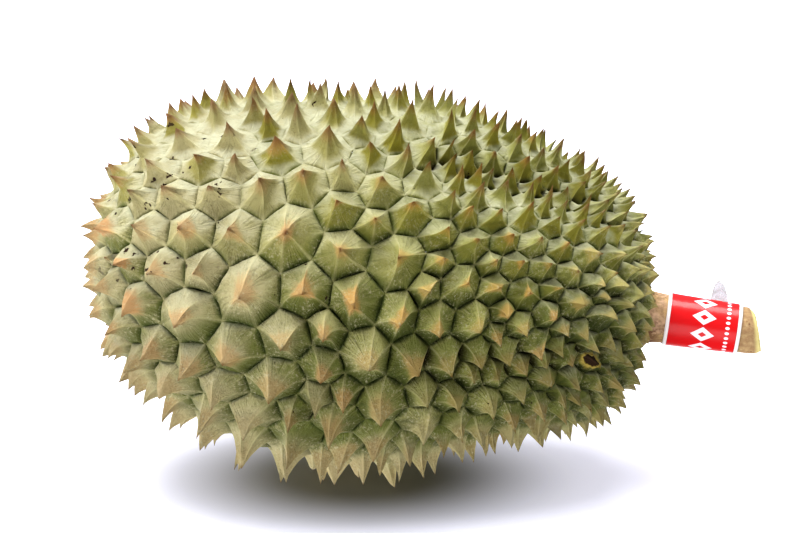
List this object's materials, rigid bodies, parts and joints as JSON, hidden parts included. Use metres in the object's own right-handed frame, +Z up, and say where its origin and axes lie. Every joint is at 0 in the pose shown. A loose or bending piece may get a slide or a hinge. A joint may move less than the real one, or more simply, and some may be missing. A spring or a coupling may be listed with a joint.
{
  "type": "durian",
  "caption": "Whole durian lying on its side, its rind covered in pyramid spines, with a cut stem and a glossy paper band round the stem.",
  "frame": {"origin": "on the ground, under the middle of the box round the whole part", "axes": "+X along the fruit towards its stem, which dips a little on that side; +Z up; -Y is the front"},
  "size_m": [0.3314, 0.2068, 0.1993],
  "materials": {
    "husk": "matte fibrous rind, pale grey-green with cream flanks, dark green grooves between the spines and tan to dark brown tips",
    "stem": "corky tan-brown bark with dark lenticels and a paler cut end",
    "label": null
  },
  "bodies": {
    "root": {"husk": "husk", "stem": "stem", "label_band": "label"}
  },
  "joints": []
}
